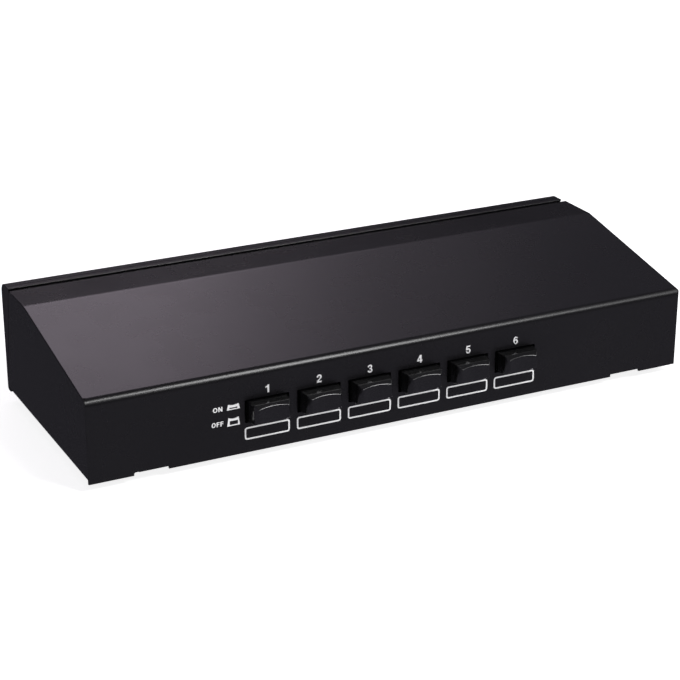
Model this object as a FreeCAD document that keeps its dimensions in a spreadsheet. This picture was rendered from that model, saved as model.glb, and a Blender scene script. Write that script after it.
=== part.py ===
import FreeCAD, Part
import Sketcher
import math
import os

# Six-way speaker selector switch.
# Working axes while drawing: x from the middle of the width, y from the outer
# face of the front panel towards the back, z from the bottom of the front lip.
# Every sub-part's Placement then moves it into the part's frame, whose origin
# is the middle of the bounding box's bottom.

V = FreeCAD.Vector
doc = FreeCAD.newDocument("speaker_selector")
sheet = doc.addObject("Spreadsheet::Sheet", "params")

VALUES = [
    # enclosure
    ("width", 300.0), ("gauge", 1.0), ("front_height", 38.3), ("rear_height", 53.7),
    ("bend_y", 79.3), ("strip_end", 101.7), ("side_foot_y", 112.0), ("side_bottom", 2.0),
    ("depth", 113.3), ("front_bend", 1.8), ("soft_bend", 6.0), ("corner_bend", 1.2),
    ("tongue_half", 145.5), ("tongue_end", 106.5),
    ("chassis_half", 148.6), ("chassis_bottom", 0.6), ("flange_top", 55.0),
    ("flange_front", 102.4), ("flange_left", 150.0), ("flange_right", 147.2),
    ("side_flange_front", 95.0), ("chassis_front", 1.3), ("rear_bend", 6.0),
    ("return_gap", 0.4),
    # lip notches
    ("notch_inner", 113.5), ("notch_outer", 129.4), ("notch_top", 1.5),
    ("relief_outer", 126.8),
    # buttons
    ("button_first", -66.9), ("button_pitch", 25.17), ("button_z", 19.62),
    ("opening_w", 21.3), ("opening_tall", 10.85),
    ("cap_base_half_w", 9.7), ("cap_base_half_tall", 4.86), ("cap_break_half_w", 8.6),
    ("cap_break_half_tall", 4.6), ("cap_break_out", 5.5), ("cap_out", 7.9),
    ("cap_front_half_w", 7.05), ("cap_front_half_tall", 3.0), ("cap_dish", 0.9),
    ("cap_back", 4.5), ("cap_wall", 1.2), ("boss_half_w", 3.9), ("boss_half_tall", 3.1),
    ("socket_depth", 7.0),
    # push switches
    ("plunger_half_w", 2.3), ("plunger_half_tall", 1.6), ("plunger_end", 40.0),
    ("collar_front", 4.6), ("collar_thick", 1.0), ("collar_half_w", 4.3),
    ("collar_half_tall", 4.0),
    ("switch_front", 16.0), ("switch_back", 50.0), ("switch_half_w", 7.0),
    ("switch_half_tall", 6.25), ("guide_gap", 0.2), ("guide_end", 46.0),
    ("coil_mean_r", 3.45), ("coil_wire_r", 0.28), ("coil_pitch", 1.6),
    # board
    ("board_left", -89.0), ("board_right", 81.0), ("board_front", 14.0),
    ("board_back", 58.0), ("board_thick", 1.6), ("board_screw_x_a", -85.0),
    ("board_screw_x_b", 77.0), ("board_screw_y_a", 18.5), ("board_screw_y_b", 53.5),
    # terminals
    ("plate_pitch", 41.0), ("plate_half_w", 17.0), ("plate_half_tall", 18.5),
    ("plate_thick", 3.0), ("terminal_z", 27.0), ("post_offset", 9.5),
    ("post_hole_r", 4.2), ("boss_r", 4.0), ("plate_bore_r", 2.0), ("plate_collar_r", 5.6),
    ("plate_collar_high", 0.8), ("post_flange_r", 4.6), ("post_flange_thick", 1.2),
    ("post_stem_r", 2.45), ("post_tail_r", 2.0), ("post_tail_end", 103.0),
    ("post_stem_end", 129.0), ("knob_start", 119.35), ("knob_end", 131.35),
    ("knob_r", 5.5), ("knob_bore_r", 2.5), ("knob_bore_end", 129.4), ("plate_screw_z", 14.2),
    # fasteners and feet
    ("screw_shank_r", 1.45), ("screw_head_r", 2.75), ("screw_head_high", 1.9),
    ("screw_long", 6.0), ("clear_hole_r", 1.7), ("tap_hole_r", 1.5),
    ("cover_screw_x", 143.0), ("cover_screw_y_a", 22.0), ("cover_screw_y_b", 88.0),
    ("foot_x", 132.0), ("foot_y_a", 16.0), ("foot_y_b", 98.0), ("foot_r", 7.0),
    ("foot_low", -4.0), ("foot_r_low", 6.2),
    # wires
    ("wire_r", 0.8),
    # frame
    ("shift_y", -61.725), ("shift_z", 4.0),
]
P = {}
for row, (alias, value) in enumerate(VALUES, start=1):
    sheet.set("A%d" % row, alias)
    sheet.set("B%d" % row, repr(value))
    sheet.setAlias("B%d" % row, alias)
    P[alias] = value
doc.recompute()


def ex(text):
    """Turns bare alias names into sheet references."""
    out, word = "", ""
    for ch in text + " ":
        if ch.isalnum() or ch == "_":
            word += ch
            continue
        out += ("params." + word) if word in P else word
        word = ""
        out += ch
    return out.strip()


def val(text):
    return float(number_of(text))


def number_of(text):
    """Small arithmetic reader for the same expressions, used for start values."""
    tokens, i = [], 0
    while i < len(text):
        c = text[i]
        if c.isspace():
            i += 1
        elif c.isdigit() or c == ".":
            j = i
            while j < len(text) and (text[j].isdigit() or text[j] == "."):
                j += 1
            tokens.append(float(text[i:j]))
            i = j
        elif c.isalpha() or c == "_":
            j = i
            while j < len(text) and (text[j].isalnum() or text[j] == "_"):
                j += 1
            tokens.append(P[text[i:j]])
            i = j
        else:
            tokens.append(c)
            i += 1
    pos = [0]

    def peek():
        return tokens[pos[0]] if pos[0] < len(tokens) else None

    def factor():
        t = peek()
        pos[0] += 1
        if t == "-":
            return -factor()
        if t == "+":
            return factor()
        if t == "(":
            v = total()
            pos[0] += 1
            return v
        return t

    def term():
        v = factor()
        while peek() in ("*", "/"):
            op = peek()
            pos[0] += 1
            w = factor()
            v = v * w if op == "*" else v / w
        return v

    def total():
        v = term()
        while peek() in ("+", "-"):
            op = peek()
            pos[0] += 1
            w = term()
            v = v + w if op == "+" else v - w
        return v

    return total()


def bind(obj, prop, text):
    obj.setExpression(prop, ex(text))


def origin_of(body, role):
    return [f for f in body.Origin.OriginFeatures if f.Role == role][0]


def new_body(label):
    body = doc.addObject("PartDesign::Body", label)
    body.Label = label
    return body


def place(obj, x="0", y="0", z="0"):
    """Moves a finished sub-part from the drawing axes into the part's frame."""
    bind(obj, "Placement.Base.x", x)
    bind(obj, "Placement.Base.y", "(" + y + ") + shift_y")
    bind(obj, "Placement.Base.z", "(" + z + ") + shift_z")


def sketch_on(body, name, role, offset=None):
    sk = body.newObject("Sketcher::SketchObject", name)
    sk.AttachmentSupport = [(origin_of(body, role), "")]
    sk.MapMode = "FlatFace"
    if offset is not None:
        bind(sk, "AttachmentOffset.Base.z", offset)
    return sk


def pin_point(sk, geo, pos, ex_x, ex_y):
    """Ties a sketch point to the sketch origin by two driving distances."""
    for kind, axis, text in (("DistanceX", -2, ex_x), ("DistanceY", -1, ex_y)):
        v = val(text)
        if abs(v) < 1e-9:
            sk.addConstraint(Sketcher.Constraint("PointOnObject", geo, pos, axis))
            continue
        if v > 0:
            n = sk.addConstraint(Sketcher.Constraint(kind, -1, 1, geo, pos, v))
            sk.setExpression("Constraints[%d]" % n, ex(text))
        else:
            n = sk.addConstraint(Sketcher.Constraint(kind, geo, pos, -1, 1, -v))
            sk.setExpression("Constraints[%d]" % n, ex("-(" + text + ")"))


def polygon(sk, points):
    """Closed outline; every corner is tied to the sheet."""
    first = sk.GeometryCount
    n = len(points)
    xy = [V(val(a), val(b), 0) for a, b in points]
    for i in range(n):
        sk.addGeometry(Part.LineSegment(xy[i], xy[(i + 1) % n]), False)
    for i in range(n):
        j = first + (i + 1) % n
        sk.addConstraint(Sketcher.Constraint("Coincident", first + i, 2, j, 1))
    for i, (a, b) in enumerate(points):
        pin_point(sk, first + i, 1, a, b)


def rectangle(sk, x0, x1, y0, y1):
    polygon(sk, [(x0, y0), (x1, y0), (x1, y1), (x0, y1)])


def circle(sk, cx, cy, r):
    g = sk.addGeometry(Part.Circle(V(val(cx), val(cy), 0), V(0, 0, 1), val(r)), False)
    pin_point(sk, g, 3, cx, cy)
    n = sk.addConstraint(Sketcher.Constraint("Radius", g, val(r)))
    sk.setExpression("Constraints[%d]" % n, ex(r))


def pad(body, name, sk, length, symmetric=False, reverse=False):
    f = body.newObject("PartDesign::Pad", name)
    f.Profile = sk
    f.SideType = "Symmetric" if symmetric else "One side"
    f.Reversed = reverse
    bind(f, "Length", length)
    doc.recompute()
    return f


def pocket(body, name, sk, length, symmetric=False, reverse=False):
    before = body.Shape.Volume
    f = body.newObject("PartDesign::Pocket", name)
    f.Profile = sk
    f.SideType = "Symmetric" if symmetric else "One side"
    f.Reversed = reverse
    bind(f, "Length", length)
    doc.recompute()
    if not body.Shape.Volume < before - 1e-6:
        raise RuntimeError("%s removed nothing" % name)
    return f


def revolve(body, name, sk, role):
    f = body.newObject("PartDesign::Revolution", name)
    f.Profile = sk
    f.ReferenceAxis = (origin_of(body, role), [""])
    f.Angle = 360
    doc.recompute()
    return f


def fillet(body, name, radius, wanted):
    """Rounds the edges of the body's tip that a test picks out."""
    base = body.Tip
    names = ["Edge%d" % (i + 1) for i, e in enumerate(base.Shape.Edges) if wanted(e)]
    if not names:
        raise RuntimeError("%s finds no edge" % name)
    f = body.newObject("PartDesign::Fillet", name)
    f.Base = (base, names)
    bind(f, "Radius", radius)
    doc.recompute()
    return f


def ends(e):
    b = e.BoundBox
    return b.XMin, b.XMax, b.YMin, b.YMax, b.ZMin, b.ZMax


def near(a, b, tol=0.02):
    return abs(a - b) < tol


# ---------------------------------------------------------------- top cover
# One sheet: front panel, slope, strip, both sides. The front lip reaches
# below the sides, the rear edge of each side slants.
cover = new_body("top_cover")
sk = sketch_on(cover, "cover_profile", "YZ_Plane")
polygon(sk, [
    ("0", "0"), ("0", "front_height"), ("bend_y", "rear_height"),
    ("strip_end", "rear_height"), ("side_foot_y", "side_bottom"),
    ("gauge", "side_bottom"), ("gauge", "0"),
])
pad(cover, "cover_block", sk, "width", symmetric=True)
half = P["width"] / 2
fillet(cover, "front_top_bend", "front_bend",
       lambda e: near(ends(e)[4], P["front_height"]) and near(ends(e)[5], P["front_height"]) and near(ends(e)[3], 0))
fillet(cover, "slope_bend", "soft_bend",
       lambda e: near(ends(e)[2], P["bend_y"]) and near(ends(e)[3], P["bend_y"]) and ends(e)[1] - ends(e)[0] > 200)
fillet(cover, "front_corners", "corner_bend",
       lambda e: near(ends(e)[2], 0) and near(ends(e)[3], 0) and ends(e)[1] - ends(e)[0] < 0.1
       and ends(e)[5] - ends(e)[4] > 20)

# inside of the sheet, open at the back and below
slope = math.atan2(P["rear_height"] - P["front_height"], P["bend_y"])
sheet.set("A%d" % (len(VALUES) + 1), "slope_lift")
sheet.set("B%d" % (len(VALUES) + 1), "=%s * tan(atan((rear_height - front_height) / bend_y) / 2)" % "gauge")
P["slope_lift"] = P["gauge"] * math.tan(slope / 2)
sheet.setAlias("B%d" % (len(VALUES) + 1), "slope_lift")
sheet.set("A%d" % (len(VALUES) + 2), "slope_drop")
sheet.set("B%d" % (len(VALUES) + 2), "=gauge / cos(atan((rear_height - front_height) / bend_y)) - gauge * (rear_height - front_height) / bend_y")
P["slope_drop"] = P["gauge"] / math.cos(slope) - P["gauge"] * math.tan(slope)
sheet.setAlias("B%d" % (len(VALUES) + 2), "slope_drop")
doc.recompute()
sk = sketch_on(cover, "cover_inside", "YZ_Plane")
polygon(sk, [
    ("gauge", "-5"), ("gauge", "front_height - slope_drop"),
    ("bend_y + slope_lift", "rear_height - gauge"),
    ("depth + 10", "rear_height - gauge"), ("depth + 10", "-5"),
])
pocket(cover, "cover_hollow", sk, "width - 2 * gauge", symmetric=True)

# tongue that slides under the chassis' rear flange
sk = sketch_on(cover, "tongue_outline", "XY_Plane", "rear_height - gauge")
rectangle(sk, "-tongue_half", "tongue_half", "strip_end - 2", "tongue_end")
pad(cover, "rear_tongue", sk, "gauge")

# the six button openings, as one opening and a pattern
sk = sketch_on(cover, "opening_outline", "XZ_Plane")
rectangle(sk, "button_first - opening_w / 2", "button_first + opening_w / 2",
          "button_z - opening_tall / 2", "button_z + opening_tall / 2")
opening = pocket(cover, "button_opening", sk, "gauge * 4", symmetric=True)
row = cover.newObject("PartDesign::LinearPattern", "button_openings")
row.Originals = [opening]
row.Direction = (origin_of(cover, "X_Axis"), [""])
row.Occurrences = 6
bind(row, "Length", "button_pitch * 5")
cover.Tip = row
doc.recompute()

# two notches in the front lip
for side, a, b in (("left", "-notch_outer", "-notch_inner"), ("right", "notch_inner", "notch_outer")):
    sk = sketch_on(cover, "lip_notch_outline_" + side, "XZ_Plane")
    rectangle(sk, a, b, "-1", "notch_top")
    pocket(cover, "lip_notch_" + side, sk, "gauge * 4", symmetric=True)

# relief holes where front, slope and side meet
sk = sketch_on(cover, "corner_relief_outline", "XZ_Plane")
circle(sk, "-(width / 2 - 0.75)", "front_height + 0.35", "0.45")
circle(sk, "width / 2 - 0.75", "front_height + 0.35", "0.45")
pocket(cover, "corner_relief", sk, "gauge * 5", symmetric=True)

# four feet of the sheet, turned in at the bottom of the sides, for the case screws
sk = sketch_on(cover, "screw_tab_outline", "XY_Plane", "chassis_bottom + gauge + 0.1")
for xa, xb in (("-(width / 2 - gauge / 2)", "-(cover_screw_x - 5)"), ("cover_screw_x - 5", "width / 2 - gauge / 2")):
    for yc in ("cover_screw_y_a", "cover_screw_y_b"):
        rectangle(sk, xa, xb, yc + " - 6", yc + " + 6")
pad(cover, "screw_tabs", sk, "1.5")
sk = sketch_on(cover, "screw_tab_web_outline", "XY_Plane", "side_bottom - 0.3")
for xa, xb in (("-(width / 2)", "-(width / 2 - gauge)"), ("width / 2 - gauge", "width / 2")):
    for yc in ("cover_screw_y_a", "cover_screw_y_b"):
        rectangle(sk, xa, xb, yc + " - 6", yc + " + 6")
pad(cover, "screw_tab_webs", sk, "1.5")
sk = sketch_on(cover, "screw_tab_holes_outline", "XY_Plane", "chassis_bottom")
for xc in ("-cover_screw_x", "cover_screw_x"):
    for yc in ("cover_screw_y_a", "cover_screw_y_b"):
        circle(sk, xc, yc, "tap_hole_r")
pocket(cover, "screw_tab_holes", sk, "6", reverse=True)
place(cover)

# ----------------------------------------------------------- bottom chassis
# Bottom plate, rear panel, the flange bent forward over the cover's tongue
# and returns forward at both ends of the rear panel. The rear panel stands
# flush with the cover's left side and a little inside its right side.
chassis = new_body("bottom_chassis")
sk = sketch_on(chassis, "base_outline", "XY_Plane", "chassis_bottom")
polygon(sk, [
    ("-chassis_half", "chassis_front"), ("chassis_half", "chassis_front"), ("chassis_half", "depth - 1.8"),
    ("flange_right", "depth - 1.8"), ("flange_right", "depth"), ("-flange_left", "depth"),
    ("-flange_left", "depth - 1.8"), ("-chassis_half", "depth - 1.8"),
])
pad(chassis, "base_plate", sk, "gauge")
sk = sketch_on(chassis, "rear_outline", "XY_Plane", "chassis_bottom")
rectangle(sk, "-flange_left", "flange_right", "depth - gauge", "depth")
pad(chassis, "rear_panel", sk, "flange_top - chassis_bottom")
fillet(chassis, "rear_bottom_bend", "1.5",
       lambda e: near(ends(e)[4], P["chassis_bottom"]) and near(ends(e)[5], P["chassis_bottom"])
       and near(ends(e)[2], P["depth"]) and near(ends(e)[3], P["depth"]))
sk = sketch_on(chassis, "flange_outline", "XY_Plane", "flange_top - gauge")
rectangle(sk, "-flange_left", "flange_right", "flange_front", "depth - gauge / 2")
pad(chassis, "top_flange", sk, "gauge")
fillet(chassis, "rear_top_bend_inside", "rear_bend - gauge",
       lambda e: near(ends(e)[4], P["flange_top"] - P["gauge"]) and near(ends(e)[5], P["flange_top"] - P["gauge"])
       and near(ends(e)[2], P["depth"] - P["gauge"]) and near(ends(e)[3], P["depth"] - P["gauge"]))
fillet(chassis, "rear_top_bend", "rear_bend",
       lambda e: near(ends(e)[4], P["flange_top"]) and near(ends(e)[5], P["flange_top"])
       and near(ends(e)[2], P["depth"]) and near(ends(e)[3], P["depth"]))

# rear outline shared by the returns: it runs in the middle of the bent sheet
BEND_LINE = [
    ("depth - gauge / 2", "flange_top - rear_bend"),
    ("depth - rear_bend + 0.866 * (rear_bend - gauge / 2)", "flange_top - rear_bend + 0.5 * (rear_bend - gauge / 2)"),
    ("depth - rear_bend + 0.5 * (rear_bend - gauge / 2)", "flange_top - rear_bend + 0.866 * (rear_bend - gauge / 2)"),
    ("depth - rear_bend", "flange_top - gauge / 2"),
]
INNER = [("side_flange_front", "chassis_bottom + gauge / 2"), ("depth - gauge / 2", "chassis_bottom + gauge / 2")] + BEND_LINE + [
    ("flange_front + 0.4", "flange_top - gauge / 2"), ("flange_front + 0.4", "rear_height - gauge - 0.4"),
    ("side_flange_front + 4", "rear_height - gauge - 0.4"), ("side_flange_front", "rear_height - 10"),
]
for name, at in (("left_inner", "-chassis_half"), ("right", "flange_right - gauge")):
    sk = sketch_on(chassis, "return_outline_" + name, "YZ_Plane", at)
    polygon(sk, INNER)
    pad(chassis, "return_" + name, sk, "gauge")
# flush return on the left, behind the slanted edge of the cover's side
sk = sketch_on(chassis, "return_outline_left_flush", "YZ_Plane", "-flange_left")
polygon(sk, [("depth - gauge / 2", "chassis_bottom + gauge / 2")] + BEND_LINE + [
    ("flange_front", "flange_top - gauge / 2"), ("strip_end + return_gap + 0.1", "rear_height - 0.4"),
    ("side_foot_y + return_gap", "side_bottom + 0.4"), ("side_foot_y + return_gap", "chassis_bottom + gauge / 2"),
])
pad(chassis, "return_left_flush", sk, "gauge")

# corners of the front edge set back
sk = sketch_on(chassis, "front_corner_outline", "XY_Plane", "chassis_bottom")
rectangle(sk, "-(chassis_half + 1)", "-relief_outer", "0", "6")
rectangle(sk, "relief_outer + 3", "chassis_half + 1", "0", "6")
pocket(chassis, "front_corner_reliefs", sk, "gauge * 3", symmetric=True)

# holes of the rear panel: 28 for the posts, 14 for the plate screws
sk = sketch_on(chassis, "post_hole_outline", "XZ_Plane", "-depth")
for dx in ("-post_offset", "post_offset"):
    for dz in ("-post_offset", "post_offset"):
        circle(sk, "-3 * plate_pitch " + ("- post_offset" if dx.startswith("-") else "+ post_offset"),
               "terminal_z " + ("- post_offset" if dz.startswith("-") else "+ post_offset"), "post_hole_r")
for dz in ("- plate_screw_z", "+ plate_screw_z"):
    circle(sk, "-3 * plate_pitch", "terminal_z " + dz, "tap_hole_r")
posthole = pocket(chassis, "post_holes_one_plate", sk, "gauge * 4", symmetric=True)
row = chassis.newObject("PartDesign::LinearPattern", "post_holes")
row.Originals = [posthole]
row.Direction = (origin_of(chassis, "X_Axis"), [""])
row.Occurrences = 7
bind(row, "Length", "plate_pitch * 6")
chassis.Tip = row
doc.recompute()

# holes for the case screws
sk = sketch_on(chassis, "case_screw_outline", "XY_Plane", "chassis_bottom")
for xc in ("-cover_screw_x", "cover_screw_x"):
    for yc in ("cover_screw_y_a", "cover_screw_y_b"):
        circle(sk, xc, yc, "clear_hole_r")
pocket(chassis, "case_screw_holes", sk, "gauge * 3", symmetric=True)

# four brackets, lanced from the plate, that carry the board
BOARD_LOW = "button_z - switch_half_tall - board_thick"
sk = sketch_on(chassis, "bracket_leg_outline", "XY_Plane", "chassis_bottom")
for xc, s in (("board_screw_x_a", "+"), ("board_screw_x_b", "-")):
    for yc in ("board_screw_y_a", "board_screw_y_b"):
        if s == "+":
            rectangle(sk, xc + " + 4", xc + " + 5", yc + " - 4", yc + " + 4")
        else:
            rectangle(sk, xc + " - 5", xc + " - 4", yc + " - 4", yc + " + 4")
pad(chassis, "bracket_legs", sk, BOARD_LOW + " - chassis_bottom")
sk = sketch_on(chassis, "bracket_top_outline", "XY_Plane", BOARD_LOW + " - gauge")
for xc, s in (("board_screw_x_a", "+"), ("board_screw_x_b", "-")):
    for yc in ("board_screw_y_a", "board_screw_y_b"):
        if s == "+":
            rectangle(sk, xc + " - 4", xc + " + 5", yc + " - 4", yc + " + 4")
        else:
            rectangle(sk, xc + " - 5", xc + " + 4", yc + " - 4", yc + " + 4")
pad(chassis, "bracket_tops", sk, "gauge")
sk = sketch_on(chassis, "bracket_hole_outline", "XY_Plane", BOARD_LOW)
for xc in ("board_screw_x_a", "board_screw_x_b"):
    for yc in ("board_screw_y_a", "board_screw_y_b"):
        circle(sk, xc, yc, "tap_hole_r")
pocket(chassis, "bracket_holes", sk, "gauge * 3", symmetric=True)
place(chassis)

# ------------------------------------------------------------- switch board
board = new_body("switch_board")
sk = sketch_on(board, "board_outline", "XY_Plane", "button_z - switch_half_tall")
rectangle(sk, "board_left", "board_right", "board_front", "board_back")
for xc in ("board_screw_x_a", "board_screw_x_b"):
    for yc in ("board_screw_y_a", "board_screw_y_b"):
        circle(sk, xc, yc, "clear_hole_r")
pad(board, "board_sheet", sk, "board_thick", reverse=True)
place(board)

# ----------------------------------------------- switches, plungers and caps
for i in range(6):
    n = i + 1
    bx = "button_first + %d * button_pitch" % i

    # housing: a block with a blind slot in which the plunger runs
    b = new_body("switch_body_%d" % n)
    sk = sketch_on(b, "housing_outline_%d" % n, "XZ_Plane", "-switch_front")
    rectangle(sk, "-switch_half_w", "switch_half_w", "-switch_half_tall", "switch_half_tall")
    pad(b, "housing_%d" % n, sk, "switch_back - switch_front", reverse=True)
    sk = sketch_on(b, "slot_outline_%d" % n, "XZ_Plane", "-switch_front")
    rectangle(sk, "-(plunger_half_w + guide_gap)", "plunger_half_w + guide_gap",
              "-(plunger_half_tall + guide_gap)", "plunger_half_tall + guide_gap")
    pocket(b, "slot_%d" % n, sk, "guide_end - switch_front")
    place(b, bx, "0", "button_z")

    # plunger: a bar with the collar that the spring bears on
    b = new_body("plunger_%d" % n)
    sk = sketch_on(b, "bar_outline_%d" % n, "XZ_Plane", "-(cap_back - socket_depth)")
    rectangle(sk, "-plunger_half_w", "plunger_half_w", "-plunger_half_tall", "plunger_half_tall")
    pad(b, "bar_%d" % n, sk, "plunger_end - (cap_back - socket_depth)", reverse=True)
    sk = sketch_on(b, "collar_outline_%d" % n, "XZ_Plane", "-collar_front")
    rectangle(sk, "-collar_half_w", "collar_half_w", "-collar_half_tall", "collar_half_tall")
    pad(b, "collar_%d" % n, sk, "collar_thick", reverse=True)
    place(b, bx, "0", "button_z")

    # return spring between the collar and the housing
    b = new_body("return_spring_%d" % n)
    sk = sketch_on(b, "coil_section_%d" % n, "XY_Plane")
    circle(sk, "coil_mean_r", "collar_front + collar_thick + coil_wire_r + 0.02", "coil_wire_r")
    h = b.newObject("PartDesign::AdditiveHelix", "coil_%d" % n)
    h.Profile = sk
    h.ReferenceAxis = (origin_of(b, "Y_Axis"), [""])
    h.Mode = "pitch-height-angle"
    bind(h, "Pitch", "coil_pitch")
    bind(h, "Height", "switch_front - collar_front - collar_thick - 2 * coil_wire_r - 0.04")
    h.Angle = 0
    doc.recompute()
    place(b, bx, "0", "button_z")

    # cap: straight behind the panel, tapered in front, bevelled, dished face
    tag = "_%d" % n
    wedges = []
    for name, y0, y1, w0, t0, w1, t1 in (
        ("cap_bevel", "-cap_out", "-cap_break_out", "cap_front_half_w", "cap_front_half_tall",
         "cap_break_half_w", "cap_break_half_tall"),
        ("cap_taper", "-cap_break_out", "0", "cap_break_half_w", "cap_break_half_tall",
         "cap_base_half_w", "cap_base_half_tall"),
        ("cap_skirt", "0", "cap_back", "cap_base_half_w", "cap_base_half_tall",
         "cap_base_half_w", "cap_base_half_tall"),
    ):
        w = doc.addObject("Part::Wedge", name + tag)
        # both ends are first given their final order, then bound to the sheet
        w.Xmin, w.Xmax = -val(w0), val(w0)
        w.Ymin, w.Ymax = val(y0), val(y1)
        w.Zmin, w.Zmax = -val(t0), val(t0)
        w.X2min, w.X2max = -val(w1), val(w1)
        w.Z2min, w.Z2max = -val(t1), val(t1)
        for prop, text in (("Xmin", "-" + w0), ("Xmax", w0), ("Ymin", y0), ("Ymax", y1),
                           ("Zmin", "-" + t0), ("Zmax", t0), ("X2min", "-" + w1), ("X2max", w1),
                           ("Z2min", "-" + t1), ("Z2max", t1)):
            bind(w, prop, text)
        wedges.append(w)
    outer = doc.addObject("Part::MultiFuse", "cap_outer" + tag)
    outer.Shapes = wedges
    outer.Refine = True
    # finger dish: a large upright cylinder that meets the front face
    dish = doc.addObject("Part::Cylinder", "cap_finger_dish" + tag)
    R_EX = "((cap_front_half_w * cap_front_half_w + cap_dish * cap_dish) / (2 * cap_dish))"
    bind(dish, "Radius", R_EX)
    bind(dish, "Height", "20")
    bind(dish, "Placement.Base.y", "-cap_out + cap_dish - " + R_EX)
    bind(dish, "Placement.Base.z", "-10")
    hollow = doc.addObject("Part::Box", "cap_hollow" + tag)
    bind(hollow, "Length", "2 * (cap_break_half_w - cap_wall)")
    bind(hollow, "Width", "cap_back + cap_break_out - cap_wall + 1")
    bind(hollow, "Height", "2 * (cap_break_half_tall - cap_wall)")
    bind(hollow, "Placement.Base.x", "-(cap_break_half_w - cap_wall)")
    bind(hollow, "Placement.Base.y", "-(cap_break_out - cap_wall)")
    bind(hollow, "Placement.Base.z", "-(cap_break_half_tall - cap_wall)")
    boss = doc.addObject("Part::Box", "cap_boss" + tag)
    bind(boss, "Length", "2 * boss_half_w")
    bind(boss, "Width", "cap_back + cap_break_out - cap_wall + 0.5")
    bind(boss, "Height", "2 * boss_half_tall")
    bind(boss, "Placement.Base.x", "-boss_half_w")
    bind(boss, "Placement.Base.y", "-(cap_break_out - cap_wall) - 0.5")
    bind(boss, "Placement.Base.z", "-boss_half_tall")
    socket = doc.addObject("Part::Box", "cap_socket" + tag)
    bind(socket, "Length", "2 * (plunger_half_w + 0.03)")
    bind(socket, "Width", "socket_depth + 1")
    bind(socket, "Height", "2 * (plunger_half_tall + 0.03)")
    bind(socket, "Placement.Base.x", "-(plunger_half_w + 0.03)")
    bind(socket, "Placement.Base.y", "cap_back - socket_depth - 0.05")
    bind(socket, "Placement.Base.z", "-(plunger_half_tall + 0.03)")
    shell = doc.addObject("Part::Cut", "cap_shell" + tag)
    dished = doc.addObject("Part::Cut", "cap_dished" + tag)
    dished.Base, dished.Tool = outer, dish
    shell.Base, shell.Tool = dished, hollow
    joined = doc.addObject("Part::Fuse", "cap_with_boss" + tag)
    joined.Base, joined.Tool = shell, boss
    joined.Refine = True
    cap = doc.addObject("Part::Cut", "button_cap_%d" % n)
    cap.Base, cap.Tool = joined, socket
    cap.Label = "button_cap_%d" % n
    place(cap, bx, "0", "button_z")
    doc.recompute()

# ----------------------------------------------------------- terminal plates
plates = new_body("terminal_plates")
sk = sketch_on(plates, "plate_outline", "XZ_Plane", "-depth")
X0 = "-3 * plate_pitch"
rectangle(sk, X0 + " - plate_half_w", X0 + " + plate_half_w",
          "terminal_z - plate_half_tall", "terminal_z + plate_half_tall")
f1 = pad(plates, "plate_slab", sk, "plate_thick - plate_collar_high", reverse=True)
corners = fillet(plates, "plate_corners", "2.5",
                 lambda e: near(ends(e)[3] - ends(e)[2], P["plate_thick"] - P["plate_collar_high"])
                 and ends(e)[1] - ends(e)[0] < 0.1 and ends(e)[5] - ends(e)[4] < 0.1)
sk = sketch_on(plates, "plate_collar_outline", "XZ_Plane", "-depth")
for dx in ("- post_offset", "+ post_offset"):
    for dz in ("- post_offset", "+ post_offset"):
        circle(sk, X0 + " " + dx, "terminal_z " + dz, "plate_collar_r")
pad(plates, "plate_collars", sk, "plate_thick", reverse=True)
sk = sketch_on(plates, "plate_boss_outline", "XZ_Plane", "-depth")
for dx in ("- post_offset", "+ post_offset"):
    for dz in ("- post_offset", "+ post_offset"):
        circle(sk, X0 + " " + dx, "terminal_z " + dz, "boss_r")
pad(plates, "plate_bosses", sk, "gauge + 1.5")
sk = sketch_on(plates, "plate_bore_outline", "XZ_Plane", "-depth")
for dx in ("- post_offset", "+ post_offset"):
    for dz in ("- post_offset", "+ post_offset"):
        circle(sk, X0 + " " + dx, "terminal_z " + dz, "plate_bore_r")
for dz in ("- plate_screw_z", "+ plate_screw_z"):
    circle(sk, X0, "terminal_z " + dz, "clear_hole_r")
pocket(plates, "plate_bores", sk, "20", symmetric=True)
# the seven plates, one group of separate solids
row = plates.newObject("PartDesign::LinearPattern", "plate_row")
row.TransformMode = "Whole shape"
row.Direction = (origin_of(plates, "X_Axis"), [""])
row.Occurrences = 7
bind(row, "Length", "plate_pitch * 6")
plates.Tip = row
place(plates)
doc.recompute()

# ------------------------------------------------------------- binding posts
posts = new_body("binding_posts")
sk = sketch_on(posts, "post_profile", "YZ_Plane")
# half profile about an axis along y, at the first post's height and side
polygon(sk, [
    ("post_tail_end", "0"), ("post_stem_end", "0"), ("post_stem_end", "post_stem_r - 0.5"),
    ("post_stem_end - 0.5", "post_stem_r"),
    ("depth + plate_thick + post_flange_thick", "post_stem_r"),
    ("depth + plate_thick + post_flange_thick", "post_flange_r"),
    ("depth + plate_thick", "post_flange_r"), ("depth + plate_thick", "post_tail_r"),
    ("post_tail_end", "post_tail_r"),
])
turned = revolve(posts, "post_turned", sk, "Y_Axis")
mt = posts.newObject("PartDesign::MultiTransform", "post_grid")
mt.Originals = [turned]
steps = []
for name, role, occurrences, length in (
    ("post_pair", "X_Axis", 2, "2 * post_offset"), ("post_row", "Z_Axis", 2, "2 * post_offset"),
    ("post_plates", "X_Axis", 7, "6 * plate_pitch"),
):
    lp = posts.newObject("PartDesign::LinearPattern", name)
    lp.Direction = (origin_of(posts, role), [""])
    lp.Occurrences = occurrences
    bind(lp, "Length", length)
    steps.append(lp)
mt.Transformations = steps
posts.Tip = mt
place(posts, "-3 * plate_pitch - post_offset", "0", "terminal_z - post_offset")
doc.recompute()

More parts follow.
